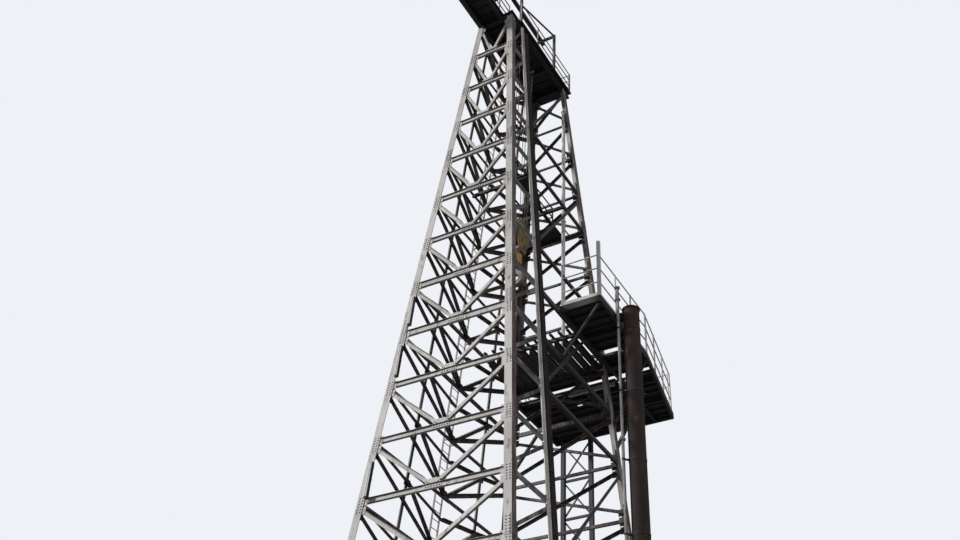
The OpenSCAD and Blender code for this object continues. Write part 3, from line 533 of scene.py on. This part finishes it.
def rope(name, path, body=None):
    """A six-strand rope along a list of points; one without a body is attached to none."""
    corners = []
    faces = []
    travelled = 0.0
    for k, point in enumerate(path):
        ahead = path[min(k + 1, len(path) - 1)] - path[max(k - 1, 0)]
        side = Vector((1, 0, 0))
        across = ahead.normalized().cross(side).normalized()
        side = across.cross(ahead.normalized())
        if k:
            travelled += (point - path[k - 1]).length
        twist = 2 * math.pi * travelled / ROPE_LAY
        for n in range(ROPE_SIDES):
            angle = 2 * math.pi * n / ROPE_SIDES + twist
            radius = LINE_R * (1.0 if n % 2 == 0 else GROOVE)
            corners.append(point + radius * (math.cos(angle) * side + math.sin(angle) * across))
    for k in range(len(path) - 1):
        for n in range(ROPE_SIDES):
            a = k * ROPE_SIDES + n
            b = k * ROPE_SIDES + (n + 1) % ROPE_SIDES
            faces.append([a, b, b + ROPE_SIDES, a + ROPE_SIDES])
    last = (len(path) - 1) * ROPE_SIDES
    faces.append(list(reversed(range(ROPE_SIDES))))
    faces.append([last + k for k in range(ROPE_SIDES)])
    mesh = bpy.data.meshes.new(name)
    mesh.from_pydata(corners, [], faces)
    mesh.update()
    mesh.shade_smooth()
    mesh.materials.append(looks["wire_rope"])
    obj = bpy.data.objects.new(name, mesh)
    bpy.context.scene.collection.objects.link(obj)
    if body:
        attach(obj, body)
    return obj


def drilling_line():
    """Straight parts that stretch between block and crown, and the turns that ride on each."""
    low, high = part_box("drilling_lines")
    block_z, crown_z = low.z + 0.0001, high.z - 0.0001
    for k in range(BLOCK_SHEAVES):
        x = (k - (BLOCK_SHEAVES - 1) / 2) * SHEAVE_PITCH
        for side, where in ((-1, "front"), (1, "back")):
            start = Vector((x, side * SHEAVE_R, block_z))
            end = Vector((x + side * SHEAVE_PITCH / 2, side * SHEAVE_R, crown_z))
            part = rope("line_%d_%s" % (k, where),
                        [start.lerp(end, n / ROPE_STEPS) for n in range(ROPE_STEPS + 1)])
            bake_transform(part)
            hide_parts("drilling_lines")
    for count, centre, way, where, body in ((BLOCK_SHEAVES, block_z, -1, "block", BLOCK),
                                            (BLOCK_SHEAVES + 1, crown_z, 1, "crown", TOWER)):
        for k in range(count):
            x = (k - (count - 1) / 2) * SHEAVE_PITCH
            turns = [math.pi * n / TURN_STEPS for n in range(TURN_STEPS + 1)]
            path = [Vector((x, -SHEAVE_R * math.cos(a), centre + way * SHEAVE_R * math.sin(a)))
                    for a in turns]
            rope("turn_%s_%d" % (where, k), path, body)


drilling_line()


# Joists under the decks, cables in the tray and tubes in the lamps

JOIST_H = 0.09
JOIST_PITCH = 0.42
SMALL_JOIST_H = 0.06
SMALL_JOIST_PITCH = 0.4
LINE_OPENING = 0.7


def small_joist(solids, low, high, y, inset):
    """A joist across the underside of a crown deck."""
    solids.block(FLAT, (low.x + inset, y - 0.02, low.z - SMALL_JOIST_H),
                 (high.x - inset, y + 0.02, low.z - 0.001))


def deck_joists():
    """Joists under the racking platform, the crown deck and the front crown platform."""
    solids = Solids()
    low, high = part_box("platform_deck")
    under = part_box("platform_beams")[1].z
    inner_x = BASE_W / 2 - LEAN_W * DECK_Z + 0.075
    inner_y = BASE_D / 2 - LEAN_D * DECK_Z + 0.075
    y = low.y + 0.3
    while y < high.y - 0.15:
        if y < inner_y:
            left, right = inner_x + 0.1, PLAT_X1
        else:
            left = low.x + 0.1
            right = PLAT_X1 - (PLAT_X1 - PLAT_BACK_X) * (y + 0.03 - inner_y) / (high.y - inner_y)
        solids.block(FLAT, (left, y - 0.025, under - JOIST_H), (right - 0.1, y + 0.025, under - 0.002))
        y += JOIST_PITCH
    low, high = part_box("crown_deck")
    y = low.y + 0.2
    while y < high.y - 0.1:
        if abs(y) > LINE_OPENING:
            small_joist(solids, low, high, y, 0.03)
        y += SMALL_JOIST_PITCH
    low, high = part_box("front_crown_platform")
    y = low.y + 0.05
    while y < high.y:
        small_joist(solids, low, high, y, 0.02)
        y += SMALL_JOIST_PITCH
    solids.piece("deck_joists", TOWER, "dark_steel")


def along_post():
    """x across the side post from its middle, y up along it, z outwards."""
    lean = math.atan((POST_FOOT_Y - POST_HEAD_Y) / up_face(RIGHT, PANELS))
    return face_place(RIGHT) @ Matrix.Translation((-POST_FOOT_Y, 0, 0)) @ Matrix.Rotation(-lean, 4, "Z")


CABLE_RADII = (0.028, 0.018, 0.034, 0.018, 0.028)
CABLE_FOOT = 0.8
LAMP_LEVELS = (7.3, 9.4, 10.4)
TUBE_R = 0.018
TUBE_OUT = 0.149
TUBE_HALF = 0.56


def tray_cables():
    """The cables in the tray, and a strap over them in the middle of each panel."""
    solids = Solids()
    place = along_post()
    start = POST_W / 2 + TRAY_GAP
    top = up_face(RIGHT, PANELS) - 0.2
    for k, radius in enumerate(CABLE_RADII):
        x = start + 0.04 + 0.06 * k
        z = -LEG_T + 0.008 + radius
        solids.bar(place @ Vector((x, CABLE_FOOT, z)), place @ Vector((x, top, z)), radius, 10)
    for panel in range(1, PANELS):
        y = up_face(RIGHT, panel + 0.5)
        solids.block(place, (start + 0.009, y - 0.03, 0.045), (start + TRAY_W - 0.009, y + 0.03, 0.06))
    solids.piece("tray_cables", TOWER, "dark_steel")


def lamp_tubes():
    """Two tubes in each lamp of the front left leg."""
    solids = Solids()
    place = face_place(FRONT)
    for level in LAMP_LEVELS:
        x = -(edge(FRONT, level) - LEG_W - 0.06)
        y = up_face(FRONT, level)
        for side in (-0.028, 0.028):
            solids.bar(place @ Vector((x + side, y - TUBE_HALF, TUBE_OUT)),
                       place @ Vector((x + side, y + TUBE_HALF, TUBE_OUT)), TUBE_R, 12)
    solids.piece("lamp_tubes", TOWER, "lamp_tube")


FINGER_PITCH = 0.33
WEB_H = 0.33


def finger_webs():
    """The web that hangs under each finger between the two cross beams."""
    low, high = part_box("finger_beams")
    solids = Solids()
    reach = BASE_W / 2 - LEAN_W * DECK_Z - 0.15
    top = high.z - 0.0603
    x = 0.06 - reach
    while x < reach - 0.119:
        solids.block(FLAT, (x + 0.032, 1.201, top - WEB_H), (x + 0.058, high.y - 0.101, top))
        x += FINGER_PITCH
    solids.piece("finger_webs", TOWER, "dark_steel")


RISER = (0.77, 2.30)
RISER_R = 0.075
RISER_TOP = 34.6
RISER_JOINT = 28.3
RISER_STAYS = (12, 14, 16, 17)
RING_H = 0.03


def riser():
    """The upright pipe from the fingers to the rear right leg's top, with its stays to the back girts."""
    x, y = RISER
    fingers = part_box("finger_beams")[1].z
    foot = fingers + 0.02
    pipe = Solids()
    pipe.block(FLAT, (x - 0.20, y - 0.14, fingers), (x + 0.20, y + 0.14, foot))
    pipe.bar((x, y, foot), (x, y, RISER_TOP), RISER_R, 24)
    for z in (foot, RISER_JOINT, RISER_TOP - RING_H):
        pipe.bar((x, y, z), (x, y, z + RING_H), RISER_R + 0.03, 24)
    for level in RISER_STAYS:
        z = level * PANEL_H
        girt_y = BASE_D / 2 - LEAN_D * z - 0.04
        pipe.bar((x, y, z - 0.03), (x, y, z + 0.03), RISER_R + 0.008, 24)
        pipe.block(FLAT, (x - 0.025, y + RISER_R, z - 0.02), (x + 0.025, girt_y, z + 0.02))
        pipe.block(FLAT, (x - 0.05, girt_y - 0.012, z - 0.04), (x + 0.05, girt_y, z + 0.04))
    # Painted light: the riser takes the paler paint.
    pipe.piece("riser", TOWER, "tower_paint", "lit_paint")


CROWN_LAMP = (-0.48, 0.87, 36.21)
CROWN_LAMP_LENGTH = 0.55
CROWN_LAMP_OUTLINE = [(-0.02, -0.03), (0.012, -0.045), (0.012, 0.045), (-0.02, 0.03)]


def crown_lamp():
    """A tube lamp on the beam behind the crown sheaves."""
    housing = Solids()
    housing.prism(Matrix.Translation(CROWN_LAMP) @ Matrix.Rotation(math.pi / 2, 4, "Y"),
                  CROWN_LAMP_OUTLINE, CROWN_LAMP_LENGTH)
    for x in (-0.40, -0.03):
        housing.block(FLAT, (x - 0.02, 0.89, 36.205), (x + 0.02, 0.993, 36.22))
    housing.piece("crown_lamp_housing", TOWER, "tower_paint")
    tubes = Solids()
    for y in (0.85, 0.89):
        tubes.bar((-0.46, y, 36.18), (0.05, y, 36.18), TUBE_R, 12)
    tubes.piece("crown_lamp_tubes", TOWER, "lamp_tube")


COLUMN_X = 4.0
COLUMN_Y = 1.0
COLUMN_R = 0.275
FIRST_BAND = 1.6
BANDS_END = 21.5
BAND_PITCH = 2.45
STANDPIPE = (3.655, 0.70)
STANDPIPE_R = 0.05
STANDPIPE_FOOT = 0.25
STANDPIPE_TOP = 22.95
PIPE_JOINTS = (5.8, 11.4, 17.0, 22.4)
FLANGE_R = 0.095
FLANGE_H = 0.022
FLANGE_GAP = 0.028
FLANGE_BOLTS_R = 0.074


def standpipe():
    """A thin pipe beside the column, clamped to it, with flanged joints."""
    x, y = STANDPIPE
    pipe = Solids()
    pipe.bar((x, y, STANDPIPE_FOOT), (x, y, STANDPIPE_TOP), STANDPIPE_R, 20)
    for z in (STANDPIPE_FOOT, *PIPE_JOINTS, STANDPIPE_TOP - 0.05):
        for gap in (0.0, FLANGE_GAP):
            pipe.bar((x, y, z + gap), (x, y, z + gap + FLANGE_H), FLANGE_R, 24)
        for k in range(8):
            turn = math.pi * (k + 0.5) / 4
            place = Matrix.Translation((x + FLANGE_BOLTS_R * math.cos(turn),
                                        y + FLANGE_BOLTS_R * math.sin(turn), z - 0.014))
            pipe.round(place, 0.012, 0.078)
    pipe.piece("standpipe", TOWER, "tower_paint")


def column_bands():
    """Clamps round the column, each with an arm that holds the standpipe."""
    solids = Solids()
    away = Vector((STANDPIPE[0] - COLUMN_X, STANDPIPE[1] - COLUMN_Y))
    turn = math.atan2(away.y, away.x)
    z = FIRST_BAND
    while z < BANDS_END:
        centre = Matrix.Translation((COLUMN_X, COLUMN_Y, z)) @ Matrix.Rotation(turn, 4, "Z")
        solids.round(centre, COLUMN_R + 0.009, 0.08, 48)
        solids.block(centre, (COLUMN_R, -0.035, 0.02), (away.length - STANDPIPE_R + 0.004, 0.035, 0.06))
        solids.round(Matrix.Translation((*STANDPIPE, z + 0.01)), STANDPIPE_R + 0.008, 0.06, 20)
        for side in (-1, 1):
            solids.round(centre @ Matrix.Translation((COLUMN_R + 0.03, side * 0.02, 0.06)), 0.012, 0.014)
        z += BAND_PITCH
    solids.piece("column_bands", TOWER, "dark_steel")


SHAFT_BOLTS_R = 0.125


def block_bolts():
    """Cap bolts round the shaft and nuts of the guards and the cross piece of the travelling block."""
    low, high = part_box("block_cheeks")
    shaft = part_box("block_sheaves")
    shaft_z = (shaft[0].z + shaft[1].z) / 2
    solids = Solids()
    for side, reach in ((-1, low.x), (1, high.x)):
        out = Matrix.Translation((reach, 0, shaft_z)) @ Matrix.Rotation(side * math.pi / 2, 4, "Y")
        for k in range(8):
            turn = math.pi * (k + 0.5) / 4
            place = Matrix.Translation((SHAFT_BOLTS_R * math.cos(turn), SHAFT_BOLTS_R * math.sin(turn), 0))
            solids.round(out @ place, 0.017, 0.014)
        for y in (-0.15, -0.05, 0.05, 0.15):
            for down in (0.79, 0.93):
                solids.round(out @ Matrix.Translation((side * down, y * 0.95, 0)), 0.019, 0.015)
        for y in (-0.44, 0.44):
            solids.round(out @ Matrix.Translation((side * 0.22, y, 0)), 0.015, 0.013)
    solids.piece("block_bolts", BLOCK, "bare_steel")


def crown_bolts():
    """Bolts of the lifting frame's base plates and of the bearing frame on the crown deck."""
    solids = Solids()
    plate_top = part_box("gin_pole")[0].z + 0.02
    for x in (-0.7, 0.7):
        for y in (-1.5, 1.5):
            for a in (-0.065, 0.065):
                for b in (-0.065, 0.065):
                    solids.round(Matrix.Translation((x + a, y + b, plate_top)), 0.013, 0.012)
    low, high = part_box("crown_block_frame")
    for x in (low.x + 0.05, high.x - 0.05):
        for k in range(10):
            y = low.y + 0.05 + (high.y - low.y - 0.1) * k / 9
            if abs(y) > 0.5:
                solids.round(Matrix.Translation((x, y, low.z + 0.16)), 0.016, 0.013)
    solids.piece("crown_bolts", TOWER, "dark_steel")


deck_joists()
tray_cables()
lamp_tubes()
finger_webs()
riser()
crown_lamp()
standpipe()
column_bands()
block_bolts()
crown_bolts()


# The floor, two suns and the pale background

FLOOR_SIZE = 2400
SKY_STRENGTH = 0.32
FLOOR_LIT = (0.14, 0.14, 0.14)
FLOOR_SEEN = (0.80, 0.80, 0.80)
SKY_LIGHT = (0.9, 0.93, 1.0, 1)
SKY_SEEN = (0.86, 0.88, 0.92, 1)


def stage():
    """A pale floor to the camera that throws less light up at the tower."""
    floor_material, tree, shader = new_material("floor")
    seen = add_node(tree, "ShaderNodeLightPath").outputs["Is Camera Ray"]
    tree.links.new(mixed(tree, seen, FLOOR_LIT, FLOOR_SEEN), shader.inputs["Base Color"])
    shader.inputs["Roughness"].default_value = 0.9
    bpy.ops.mesh.primitive_plane_add(size=FLOOR_SIZE, location=(0, 0, 0))
    floor = bpy.context.object
    floor.name = "floor"
    floor.data.materials.append(floor_material)


def sun(name, strength, angle, towards):
    data = bpy.data.lights.new(name, "SUN")
    data.energy = strength
    data.angle = math.radians(angle)
    lamp = bpy.data.objects.new(name, data)
    bpy.context.scene.collection.objects.link(lamp)
    lamp.rotation_euler = (-Vector(towards)).to_track_quat("-Z", "Y").to_euler()


def lighting():
    sun("key", 3.6, 8, (-0.8, -0.6, 0.55))
    sun("fill", 0.3, 60, (0.8, -0.3, 0.3))
    world = bpy.data.worlds.new("world")
    bpy.context.scene.world = world
    world.use_nodes = True
    tree = world.node_tree
    light = tree.nodes["Background"]
    light.inputs["Color"].default_value = SKY_LIGHT
    light.inputs["Strength"].default_value = SKY_STRENGTH
    seen = tree.nodes.new("ShaderNodeBackground")
    seen.inputs["Color"].default_value = SKY_SEEN
    seen.inputs["Strength"].default_value = 1.0
    path = tree.nodes.new("ShaderNodeLightPath")
    mix = tree.nodes.new("ShaderNodeMixShader")
    tree.links.new(path.outputs["Is Camera Ray"], mix.inputs["Fac"])
    tree.links.new(light.outputs["Background"], mix.inputs[1])
    tree.links.new(seen.outputs["Background"], mix.inputs[2])
    tree.links.new(mix.outputs["Shader"], tree.nodes["World Output"].inputs["Surface"])


stage()
lighting()
bpy.context.scene.view_settings.view_transform = "Standard"
